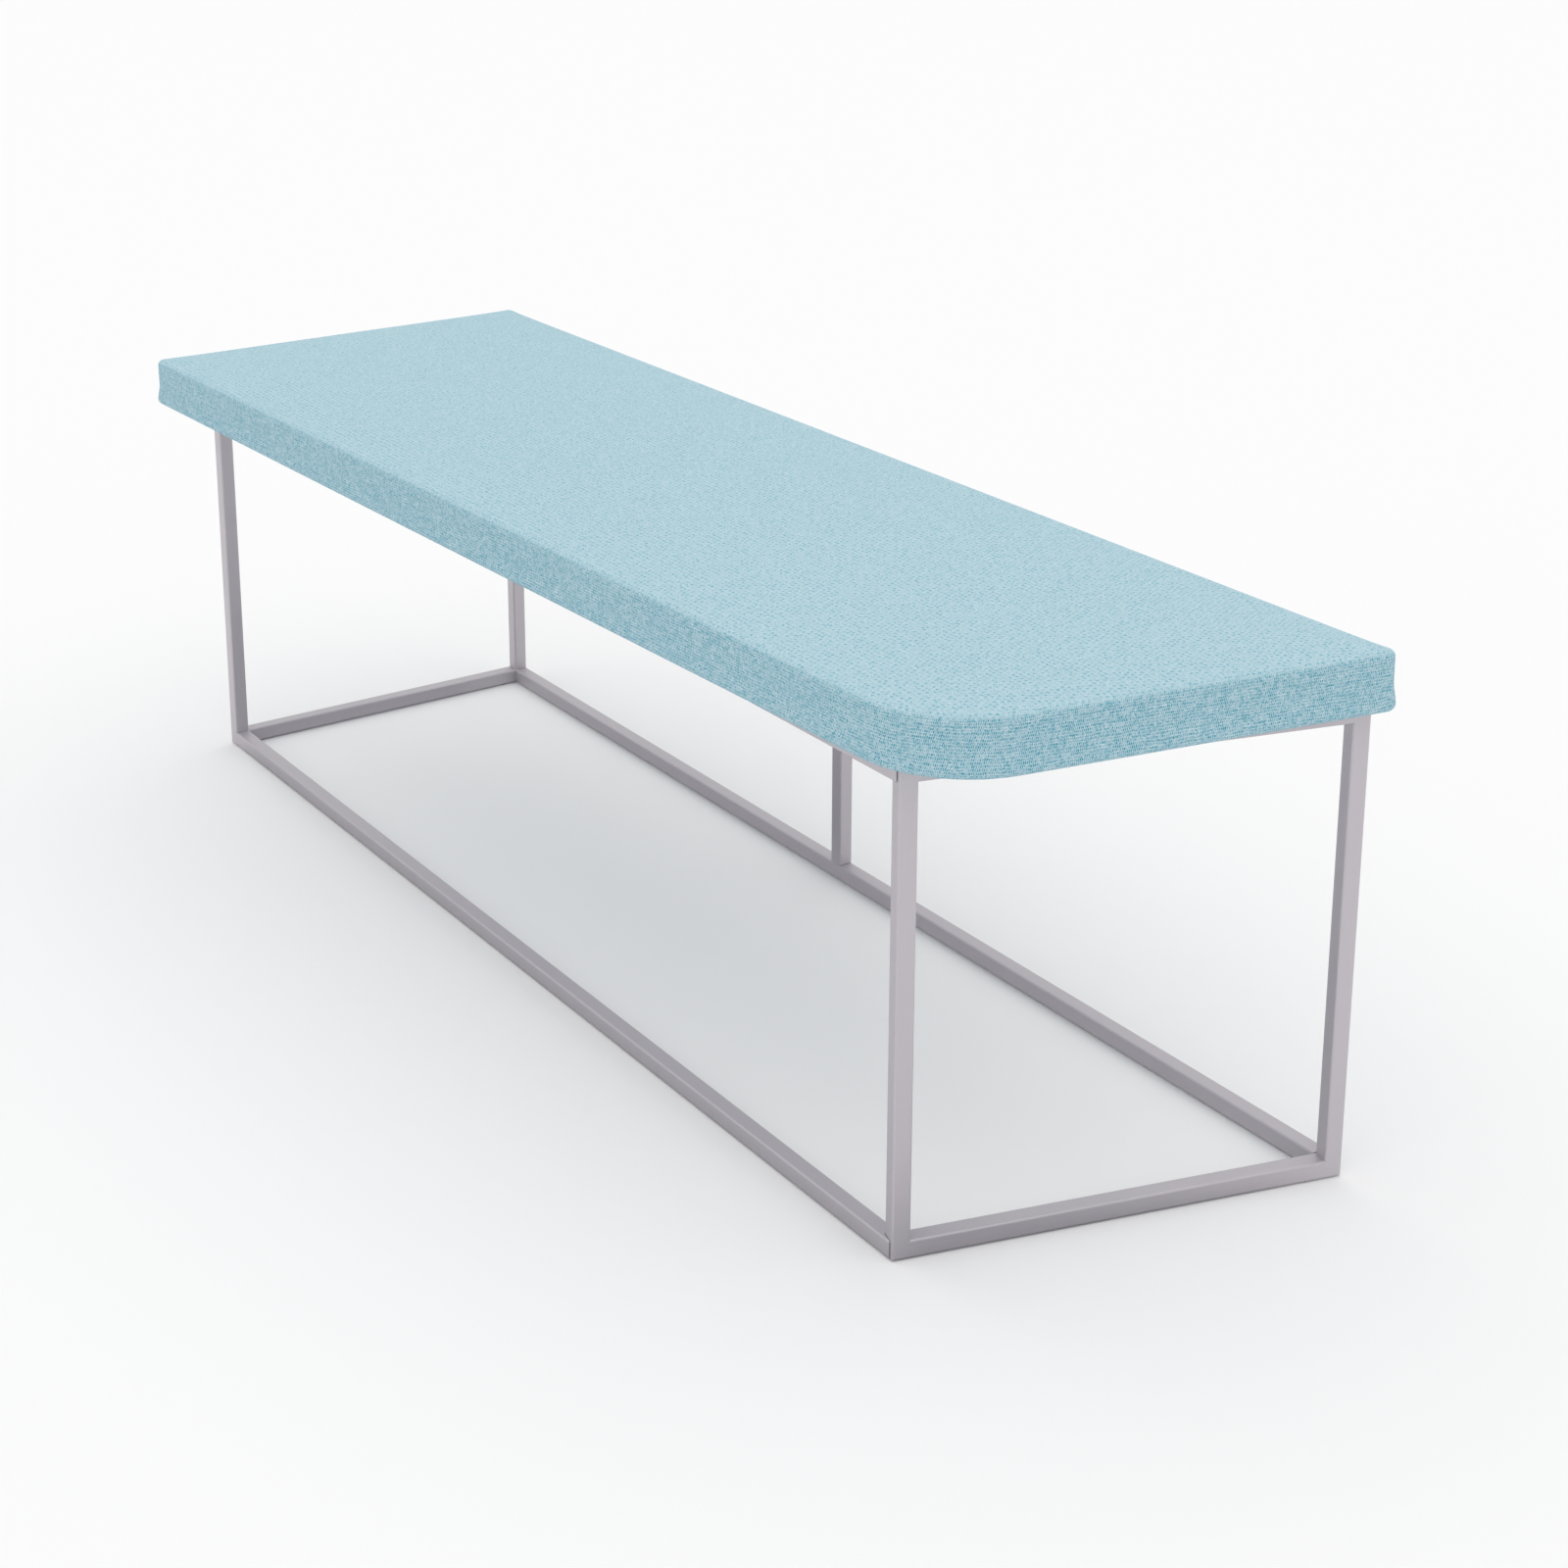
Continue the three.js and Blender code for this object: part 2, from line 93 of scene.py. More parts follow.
class NodeSheet:
    """Builds a node tree."""

    def __init__(self, tree: bpy.types.NodeTree) -> None:
        """Take the tree that is built on."""
        self.tree = tree

    def feed(self, socket: Socket, value: Value | Sequence[float]) -> None:
        """Link a socket to another, or set its constant.

        Args:
            socket: The input to fill.
            value: A socket to link from, or a constant.
        """
        if isinstance(value, bpy.types.NodeSocket):
            self.tree.links.new(value, socket)
        else:
            socket.default_value = value

    def node(self, kind: str, inputs: Inputs | None = None, **settings: str) -> bpy.types.Node:
        """Add a node.

        Args:
            kind: Its type, without the word that all shader nodes start with.
            inputs: Values by input name or number.
            settings: Its options by name.

        Returns:
            The node.
        """
        made = self.tree.nodes.new("ShaderNode" + kind)
        for name, setting in settings.items():
            setattr(made, name, setting)
        for key, value in (inputs or {}).items():
            self.feed(made.inputs[key], value)
        return made

    def math(self, operation: str, a: Value, b: Value = 0.0, c: Value = 0.0) -> Socket:
        """Work out one operation.

        Args:
            operation: Its name.
            a: First operand.
            b: Second operand.
            c: Third operand.

        Returns:
            The result.
        """
        return self.node("Math", {0: a, 1: b, 2: c}, operation=operation).outputs[0]

    def ramp(self, value: Value, low: float, high: float, to_low: float = 0.0, to_high: float = 1.0) -> Socket:
        """Carry a range smoothly onto another range.

        Args:
            value: What is mapped.
            low: Start of the source range.
            high: End of the source range.
            to_low: What the start becomes.
            to_high: What the end becomes.

        Returns:
            The mapped value.
        """
        inputs = {"Value": value, "From Min": low, "From Max": high, "To Min": to_low, "To Max": to_high}
        return self.node("MapRange", inputs, interpolation_type="SMOOTHSTEP").outputs["Result"]

    def total(self, start: Value, *parts: tuple[Socket, float]) -> Value:
        """Add values to a start, each times its factor.

        Args:
            start: What the sum starts from.
            parts: Values with their factors.

        Returns:
            The sum.
        """
        for value, factor in parts:
            start = self.math("MULTIPLY_ADD", value, factor, start)
        return start

    def reach(self, u: Value, v: Value) -> Socket:
        """Give the distance from the middle: the root of the sum of both squares."""
        return self.math("SQRT", self.math("ADD", self.math("MULTIPLY", u, u), self.math("MULTIPLY", v, v)))

    def arch(self, value: Socket) -> Socket:
        """Give half a sine wave over each whole step of a value."""
        return self.math("SINE", self.math("MULTIPLY", self.math("FRACT", value), math.pi))

    def noise(self, vector: Socket, grain: Grain) -> Socket:
        """Give a noise with values about one half.

        Args:
            vector: Where it is read.
            grain: Its size and octaves.

        Returns:
            The noise value.
        """
        octaves = {"Scale": grain.scale, "Detail": grain.detail, "Roughness": grain.roughness}
        return self.node("TexNoise", {"Vector": vector, **octaves}).outputs["Fac"]

    def swing(self, vector: Socket, grain: Grain) -> Socket:
        """Give a noise with values about zero."""
        return self.math("SUBTRACT", self.noise(vector, grain), 0.5)

    def chance(self, x: Value, y: Value, draw: Draw) -> Socket:
        """Give one even random number per pair of whole numbers.

        Args:
            x: First whole number.
            y: Second whole number.
            draw: Which draw it is.

        Returns:
            The random value from 0 to 1.
        """
        return self.node("TexWhiteNoise", {"Vector": self.vector(x, y, draw.value)}).outputs["Value"]

    def vector(self, x: Value, y: Value, z: Value = 0.0) -> Socket:
        """Join three values to a vector."""
        return self.node("CombineXYZ", {0: x, 1: y, 2: z}).outputs[0]

    def split(self, vector: Socket) -> tuple[Socket, Socket, Socket]:
        """Split a vector into its three values."""
        return tuple(self.node("SeparateXYZ", {0: vector}).outputs)

    def scaled(self, vector: Socket, scale: Stretch) -> Socket:
        """Multiply a vector by three constants."""
        return self.node("VectorMath", {0: vector, 1: scale}, operation="MULTIPLY").outputs[0]

    def mix(self, factor: Value, a: Socket | Colour, b: Socket | Colour) -> Socket:
        """Mix two colours.

        Args:
            factor: 0 gives a, 1 gives b.
            a: First colour.
            b: Second colour.

        Returns:
            The mixed colour.
        """
        node = self.node("Mix", {"Factor": factor}, data_type="RGBA")
        colours = [s for s in node.inputs if s.type == "RGBA"]
        for socket, colour in zip(colours, (a, b)):
            self.feed(socket, colour if isinstance(colour, bpy.types.NodeSocket) else (*colour, 1.0))
        return next(s for s in node.outputs if s.type == "RGBA")


class FinishSheet(NodeSheet):
    """Builds the node tree of one material round a Principled shader."""

    def __init__(self, name: str) -> None:
        """Make an empty material with a shader and an output.

        Args:
            name: The material's name.
        """
        self.material = bpy.data.materials.new(name)
        self.material.use_nodes = True
        super().__init__(self.material.node_tree)
        self.tree.nodes.clear()
        self.shader = self.node("BsdfPrincipled")
        self.node("OutputMaterial", {"Surface": self.shader.outputs["BSDF"]})

    def shade(self, **inputs: Value | Sequence[float]) -> None:
        """Fill inputs of the shader, named with _ for a space.

        Args:
            inputs: Shader inputs and their values.
        """
        for name, value in inputs.items():
            self.feed(self.shader.inputs[name.replace("_", " ")], value)

    def bump(self, height: Socket, distance: float, strength: float) -> None:
        """Give the shader its normal from a height.

        Args:
            height: The height, in units of the distance.
            distance: What a height of 1 stands for, in metres.
            strength: Share of the bump.
        """
        bump = self.node("Bump", {"Distance": distance, "Strength": strength, "Height": height})
        self.shade(Normal=bump.outputs["Normal"])

    def place(self) -> Socket:
        """Give the object's own coordinates, in metres."""
        return self.node("TexCoord").outputs["Object"]

    def cloth_place(self) -> Socket:
        """Give the place along and across the cloth, in metres."""
        return self.node("UVMap", uv_map=Layer.WEAVE.value).outputs["UV"]

    def layer(self, which: Layer) -> Socket:
        """Give a value that the mesh carries per point."""
        return self.node("Attribute", attribute_name=which.value).outputs["Fac"]


# Finishes


@dataclass(frozen=True)
class WovenCloth:
    """Coarse two-tone weave: upright warp stitches in rows, slim weft picks between them, slubs and open gaps.

    Lengths on the cloth are in millimetres. A tone of 0 is the deep colour, or the hollow one on the seat, and a
    tone of 1 is the bright one. The deep colour is the sides' own and is darker than the hollow partly as painted
    shade for the less light that falls on the sides. Each span is the range of a value over which its part of the
    weave fades in. Where a gap lies in its cell is drawn along and across, each with a spread and a start.
    """

    bright: Colour = (0.636, 0.764, 0.826)
    # The sides' dark colour: partly the yarn seen in the open weave, partly painted shade for the less light on
    # the sides.
    deep_with_shade: Colour = (0.02, 0.30, 0.405)
    hollow: Colour = (0.03, 0.37, 0.475)
    pick: float = 2.42
    stitch: float = 1.6
    bend: Grain = Grain(0.05, 1.0)
    bend_across: float = 2.2
    fray: Grain = Grain(0.95, 2.0, 0.6)
    fray_along: float = 2.8
    fray_across: float = 3.2
    row_shift: float = 0.35
    warp_span: Span = (0.48, 1.0)
    crest_span: Span = (0.05, 0.55)
    row_end_span: Span = (0.75, 0.1)
    pick_span: Span = (0.75, 0.45)
    pick_scatter: float = 0.3
    pick_runs: float = 0.22
    patch: Grain = Grain(1.0, 2.0, 0.55)
    patch_stretch: Stretch = (0.11, 0.20, 1.0)
    strand: Grain = Grain(1.0, 1.0)
    strand_along: float = 0.16
    strand_per_row: float = 5.7
    slub_shares: Span = (0.6, 0.4)
    slub_span: Span = (0.36, 0.64)
    slub_openings: Span = (0.55, 1.35)
    row_opening: float = 1.1
    second_row_opening: float = -0.2
    least_opening: float = 0.32
    drawn_opening: float = 1.05
    fibre: Grain = Grain(0.85, 3.0, 0.7)
    wall_tone: float = 0.702
    wall_pick: float = 0.24
    # The sides' gaps weigh more than the seat's: partly the more open weave, partly painted shade that darkens the
    # sides.
    wall_gap_and_shade: float = -0.84
    wall_fibre: float = 1.3
    seat_tone: float = 0.694
    seat_patch: float = 0.22
    seat_dot: float = -0.52
    seat_gap: float = -0.27
    seat_fibre: float = 1.75
    dot_pitch: Span = (4.9, 4.84)
    dot_fray: float = 1.4
    dot_along: Span = (0.4, -0.7)
    dot_across: Span = (0.3, -0.65)
    dot_span: Span = (0.42, 0.04)
    dot_draw: Span = (0.1, 0.8)
    dot_depths: Span = (0.3, 0.9)
    relief: float = 0.0006
    relief_share: float = 0.42
    relief_pick: float = 0.4

    def material(self) -> bpy.types.Material:
        """Make the weave on the cloth's own coordinates.

        A row number and a column number come from the place in millimetres, bent a little by noise. The yarn
        is a sine across each stitch and along each row, with runs of bright pick at some row ends. Each cell
        draws how far it opens, every second row is tighter, and slubs open or close a run of cells in a row.
        On the pad's top the yarns close up, the tone is a little patchy, and only single gaps are left in a
        staggered, uneven order. On the sides the gaps weigh more and their colour is darker: partly the more open
        weave, partly painted shade for the less light that falls on the sides.

        Returns:
            The material.
        """
        s = FinishSheet("woven_cover")
        place = s.scaled(s.cloth_place(), (MM_PER_M, MM_PER_M, MM_PER_M))
        along, across, _ = s.split(place)
        side = s.layer(Layer.SIDE)
        fray = s.swing(place, self.fray)
        bent = s.total(across, (s.swing(place, self.bend), self.bend_across))
        row = s.math("DIVIDE", s.math("ADD", bent, s.math("MULTIPLY", fray, self.fray_across)), self.pick)
        row_number = s.math("FLOOR", row)
        second_row = s.math("PINGPONG", row_number, 1.0)
        shift = s.math("MULTIPLY", s.chance(row_number, 0.0, Draw.ROW_SHIFT), self.row_shift)
        shifted = s.math("DIVIDE", s.total(along, (fray, self.fray_along)), self.stitch)
        column = s.math("ADD", shifted, s.total(shift, (second_row, 0.5)))
        cell = (s.math("FLOOR", column), row_number)
        warp, crest = s.arch(column), s.arch(row)

        run_number = s.math("FLOOR", s.math("MULTIPLY", column, self.pick_runs))
        run = s.chance(run_number, row_number, Draw.PICK_RUN)
        scattered = s.total(run, (s.chance(*cell, Draw.PICK), self.pick_scatter))
        pick_line = s.math("MULTIPLY", s.ramp(crest, *self.row_end_span), s.ramp(scattered, *self.pick_span))

        patch = s.noise(s.scaled(place, self.patch_stretch), self.patch)
        strand_place = s.vector(
            s.math("MULTIPLY", along, self.strand_along), s.math("MULTIPLY", row_number, self.strand_per_row)
        )
        strand_share, patch_share = self.slub_shares
        slub = s.total(s.math("MULTIPLY", patch, patch_share), (s.noise(strand_place, self.strand), strand_share))
        tight = s.total(self.row_opening, (second_row, self.second_row_opening))
        opening = s.math("MULTIPLY", s.ramp(slub, *self.slub_span, *self.slub_openings), tight)
        drawn = s.total(self.least_opening, (s.chance(*cell, Draw.OPENING), self.drawn_opening))
        stroke = s.math("MULTIPLY", s.ramp(warp, *self.warp_span), s.ramp(crest, *self.crest_span))
        gap = s.math("MULTIPLY", stroke, s.math("MULTIPLY", drawn, opening))

        dot = self.dots(s, s.total(along, (fray, self.dot_fray)), s.total(across, (fray, self.dot_fray)))
        fibre = s.swing(place, self.fibre)
        # The sides' tone, darker than the seat's partly by painted shade.
        on_wall_with_shade = s.total(
            self.wall_tone, (pick_line, self.wall_pick), (gap, self.wall_gap_and_shade), (fibre, self.wall_fibre)
        )
        on_seat = s.total(
            self.seat_tone,
            (patch, self.seat_patch),
            (dot, self.seat_dot),
            (gap, self.seat_gap),
            (fibre, self.seat_fibre),
        )
        # The side layer blends in the sides' tone, whose extra darkness is partly painted shade.
        tone = s.math("MULTIPLY_ADD", s.math("SUBTRACT", on_wall_with_shade, on_seat), side, on_seat)
        limited = s.math("MINIMUM", s.math("MAXIMUM", tone, 0.0), 1.0)
        s.shade(
            Base_Color=s.mix(limited, s.mix(side, self.hollow, self.deep_with_shade), self.bright),
            Roughness=0.93,
            Sheen_Weight=0.1,
            Sheen_Roughness=0.45,
            Specular_IOR_Level=0.2,
        )
        height = s.math("SUBTRACT", s.total(fibre, (pick_line, self.relief_pick)), gap)
        s.bump(height, self.relief, self.relief_share)
        return s.material

    def dots(self, s: FinishSheet, along: Socket, across: Socket) -> Socket:
        """Make the single gaps of the closed weave.

        The place is cut into cells, every second row moved by half a cell. Each cell has one soft round gap
        whose middle and depth are drawn from the cell's numbers.

        Args:
            s: The material's nodes.
            along: Place along the cloth, in millimetres.
            across: Place across it.

        Returns:
            The gaps, 0 to 1.
        """
        row = s.math("DIVIDE", across, self.dot_pitch[1])
        row_number = s.math("FLOOR", row)
        half = s.math("MULTIPLY", s.math("PINGPONG", row_number, 1.0), 0.5)
        column = s.math("ADD", s.math("DIVIDE", along, self.dot_pitch[0]), half)
        cell = (s.math("FLOOR", column), row_number)
        aside = s.math("MULTIPLY_ADD", s.chance(*cell, Draw.DOT_ALONG), *self.dot_along)
        over = s.math("MULTIPLY_ADD", s.chance(*cell, Draw.DOT_ACROSS), *self.dot_across)
        u = s.math("ADD", s.math("FRACT", column), aside)
        v = s.math("ADD", s.math("FRACT", row), over)
        depth = s.ramp(s.chance(*cell, Draw.DOT_DEPTH), *self.dot_draw, *self.dot_depths)
        return s.math("MULTIPLY", s.ramp(s.reach(u, v), *self.dot_span), depth)


@dataclass(frozen=True)
class SatinPaint:
    """Satin powder coat: a fine orange peel, flecks of metal flake and slightly uneven gloss."""

    colour: Colour = (0.540, 0.508, 0.542)
    fleck: Colour = (0.455, 0.430, 0.462)
    cloud: Grain = Grain(14.0, 3.0)
    flake: Grain = Grain(2400.0, 1.0)
    flake_span: Span = (0.52, 0.72)
    flake_share: float = 0.5
    grain: Grain = Grain(900.0)
    ripple: Grain = Grain(320.0, 1.0)
    ripple_share: float = 0.7
    gloss: Span = (0.36, 0.44)
    peel: float = 0.00005

    def material(self) -> bpy.types.Material:
        """Make the paint on the object's coordinates.

        Returns:
            The material.
        """
        s = FinishSheet("frame_paint")
        place = s.place()
        flake = s.ramp(s.noise(place, self.flake), *self.flake_span)
        s.shade(
            Base_Color=s.mix(s.math("MULTIPLY", flake, self.flake_share), self.colour, self.fleck),
            Metallic=0.4,
            Roughness=s.ramp(s.noise(place, self.cloud), 0.3, 0.7, *self.gloss),
            Specular_IOR_Level=0.45,
        )
        ripple = (s.noise(place, self.ripple), self.ripple_share)
        s.bump(s.total(s.noise(place, self.grain), ripple), self.peel, 0.35)
        return s.material


@dataclass(frozen=True)
class ZincPlate:
    """Zinc plating with a cloudy bright passivation and fine turning marks."""

    bright: Colour = (0.62, 0.64, 0.66)
    blue: Colour = (0.45, 0.48, 0.53)
    cloud: Grain = Grain(260.0, 3.0, 0.6)
    marks: Grain = Grain()
    marks_stretch: Stretch = (400.0, 400.0, 3200.0)
    gloss: Span = (0.26, 0.44)
    relief: float = 0.00004

    def material(self, name: str = "zinc_plate") -> bpy.types.Material:
        """Make the plating on the object's coordinates.

        Args:
            name: The material's name.

        Returns:
            The material.
        """
        s = FinishSheet(name)
        place = s.place()
        marks = s.noise(s.scaled(place, self.marks_stretch), self.marks)
        s.shade(
            Base_Color=s.mix(s.ramp(s.noise(place, self.cloud), 0.35, 0.65), self.bright, self.blue),
            Metallic=1.0,
            Roughness=s.ramp(marks, 0.25, 0.75, *self.gloss),
        )
        s.bump(marks, self.relief, 0.5)
        return s.material


@dataclass(frozen=True)
class MouldedNylon:
    """Grey moulded nylon with a fine spark texture and scuffs."""

    colour: Colour = (0.15, 0.145, 0.15)
    scuffed: Colour = (0.26, 0.25, 0.255)
    scuff: Grain = Grain(420.0, 4.0, 0.65)
    spark: Grain = Grain(2200.0)
    gloss: Span = (0.5, 0.72)
    relief: float = 0.00005

    def material(self) -> bpy.types.Material:
        """Make the nylon on the object's coordinates.

        Returns:
            The material.
        """
        s = FinishSheet("glide_nylon")
        place = s.place()
        scuff = s.ramp(s.noise(place, self.scuff), 0.48, 0.72)
        s.shade(
            Base_Color=s.mix(scuff, self.colour, self.scuffed),
            Roughness=s.ramp(scuff, 0.0, 1.0, *self.gloss),
        )
        s.bump(s.noise(place, self.spark), self.relief, 0.4)
        return s.material


@dataclass(frozen=True)
class BirchPly:
    """Sanded birch plywood: straight face grain and darker glue lines on the edge."""

    face: Colour = (0.62, 0.44, 0.25)
    grain: Colour = (0.42, 0.27, 0.13)
    ply: float = 0.0015
    figure: Grain = Grain(1.0, 5.0, 0.6)
    figure_stretch: Stretch = (4.0, 70.0, 70.0)
    gloss: Span = (0.55, 0.72)
    relief: float = 0.0001

    def material(self) -> bpy.types.Material:
        """Make the wood on the object's coordinates.

        Returns:
            The material.
        """
        s = FinishSheet("plywood")
        place = s.place()
        figure = s.noise(s.scaled(place, self.figure_stretch), self.figure)
        _, _, height = s.split(place)
        sheet = s.math("FRACT", s.math("DIVIDE", height, self.ply))
        glue = s.ramp(s.math("ABSOLUTE", s.math("SUBTRACT", sheet, 0.5)), 0.42, 0.5)
        streak = s.total(s.ramp(figure, 0.38, 0.68), (glue, 0.5))
        s.shade(Base_Color=s.mix(streak, self.face, self.grain), Roughness=s.ramp(figure, 0.3, 0.7, *self.gloss))
        s.bump(figure, self.relief, 0.4)
        return s.material


@dataclass(frozen=True)
class LiningCloth:
    """Thin spun cloth in pale grey-blue, with bonded dots and loose fibres."""

    colour: Colour = (0.56, 0.64, 0.68)
    dot: Colour = (0.42, 0.51, 0.56)
    pitch: float = 0.0017
    bond_span: Span = (0.34, 0.22)
    fibres: Grain = Grain(1.0, 4.0, 0.7)
    fibres_stretch: Stretch = (0.7, 2.6, 1.0)
    gloss: Span = (0.9, 0.62)
    relief: float = 0.0003

    def material(self) -> bpy.types.Material:
        """Make the spun cloth on the cloth's own coordinates.

        Returns:
            The material.
        """
        s = FinishSheet("lining_cloth")
        place = s.scaled(s.cloth_place(), (1.0 / self.pitch, 1.0 / self.pitch, 1.0))
        along, across, _ = s.split(place)
        row = s.math("FLOOR", across)
        stagger = s.math("MULTIPLY", s.math("MODULO", row, 2.0), 0.5)
        u = s.math("SUBTRACT", s.math("FRACT", s.math("ADD", along, stagger)), 0.5)
        v = s.math("SUBTRACT", s.math("FRACT", across), 0.5)
        bond = s.ramp(s.reach(u, v), *self.bond_span)
        fibres = s.noise(s.scaled(place, self.fibres_stretch), self.fibres)
        s.shade(
            Base_Color=s.mix(s.total(s.math("ADD", bond, 0.25), (fibres, -0.5)), self.colour, self.dot),
            Roughness=s.ramp(bond, 0.0, 1.0, *self.gloss),
            Sheen_Weight=0.1,
        )
        s.bump(s.math("SUBTRACT", fibres, bond), self.relief, 0.5)
        return s.material


@dataclass(frozen=True)
class StudioFloor:
    """Matt pale floor with one tone under the bench and another clear of it."""

    name: str = "studio_floor"
    # The seen floor's tone under the bench is lighter than clear of it: painted light that lifts the bench's
    # shadow.
    near: Colour = (0.965, 0.963, 0.967)
    far: Colour = (0.945, 0.943, 0.945)
    half: Span = (0.62, 0.15)
    near_reach: float = 0.0
    far_reach: float = 0.3

    def material(self) -> bpy.types.Material:
        """Make the floor on the object's coordinates, by the distance from a box of the given half sides.

        Returns:
            The material.
        """
        s = FinishSheet(self.name)
        beyond = [
            s.math("MAXIMUM", s.math("SUBTRACT", s.math("ABSOLUTE", place), half), 0.0)
            for place, half in zip(s.split(s.place()), self.half)
        ]
        s.shade(
            Base_Color=s.mix(s.ramp(s.reach(*beyond), self.near_reach, self.far_reach), self.near, self.far),
            Roughness=0.95,
            Specular_IOR_Level=0.05,
        )
        return s.material


# Meshes


def mesh_object(name: str, points: np.ndarray, faces: np.ndarray, smooth: bool = True) -> bpy.types.Object:
    """Put whole arrays of points and quads into a new object.

    Args:
        name: The object's name.
        points: Coordinates, one row per point.
        faces: Point numbers, one row of four per face, anticlockwise from outside.
        smooth: Whether the faces are shaded smooth.

    Returns:
        The object, linked to the scene.
    """
    mesh = bpy.data.meshes.new(name)
    mesh.from_pydata(points.tolist(), [], faces.tolist())
    mesh.polygons.foreach_set("use_smooth", np.full(len(mesh.polygons), smooth))
    mesh.update()
    made = bpy.data.objects.new(name, mesh)
    bpy.context.scene.collection.objects.link(made)
    return made


def grid_faces(numbers: np.ndarray) -> np.ndarray:
    """Give the quads of a grid of point numbers, in the order (row, column), (row + 1, column) and on.

    Args:
        numbers: Point numbers in rows and columns.

    Returns:
        One row of four point numbers per quad.
    """
    corners = (numbers[:-1, :-1], numbers[1:, :-1], numbers[1:, 1:], numbers[:-1, 1:])
    return np.stack([c.ravel() for c in corners], axis=1)


def closed_rows(numbers: np.ndarray) -> np.ndarray:
    """Close rows of point numbers: the first column comes again after the last."""
    return np.column_stack([numbers, numbers[:, 0]])


def run_lengths(points: np.ndarray) -> np.ndarray:
    """Give the length along a line of points from its start to each point."""
    return np.insert(np.cumsum(np.linalg.norm(np.diff(points, axis=0), axis=1)), 0, 0.0)


def set_corner_map(made: bpy.types.Object, corners: np.ndarray) -> None:
    """Write the place on the cloth of every face corner, in metres.

    Args:
        made: The object.
        corners: Two values per face corner.
    """
    layer = made.data.uv_layers.new(name=Layer.WEAVE.value)
    layer.data.foreach_set("uv", np.ascontiguousarray(corners, dtype=np.float32).ravel())


def read_points(mesh: bpy.types.Mesh) -> np.ndarray:
    """Give a mesh's coordinates, one row per point."""
    flat = np.empty(len(mesh.vertices) * 3)
    mesh.vertices.foreach_get("co", flat)
    return flat.reshape(-1, 3)


def write_points(mesh: bpy.types.Mesh, points: np.ndarray) -> None:
    """Replace a mesh's coordinates."""
    mesh.vertices.foreach_set("co", points.ravel())
    mesh.update()


def dress(node: str, material: bpy.types.Material) -> None:
    """Give a CAD node a material in place of its own.

    Args:
        node: The node's name.
        material: The finish.
    """
    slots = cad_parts[node].data.materials
    slots.clear()
    slots.append(material)
    LOG.info("dressed %s with %s", node, material.name)


def settle(made: bpy.types.Object, material: bpy.types.Material, slot: str, *nodes: str) -> None:
    """Dress a new piece and fix it to the bench.

    Args:
        made: The piece.
        material: Its finish.
        slot: Not used.
        nodes: The CAD nodes that it replaces.
    """
    made.data.materials.append(material)
    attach(made, BODY)
    if nodes:
        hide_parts(*nodes)


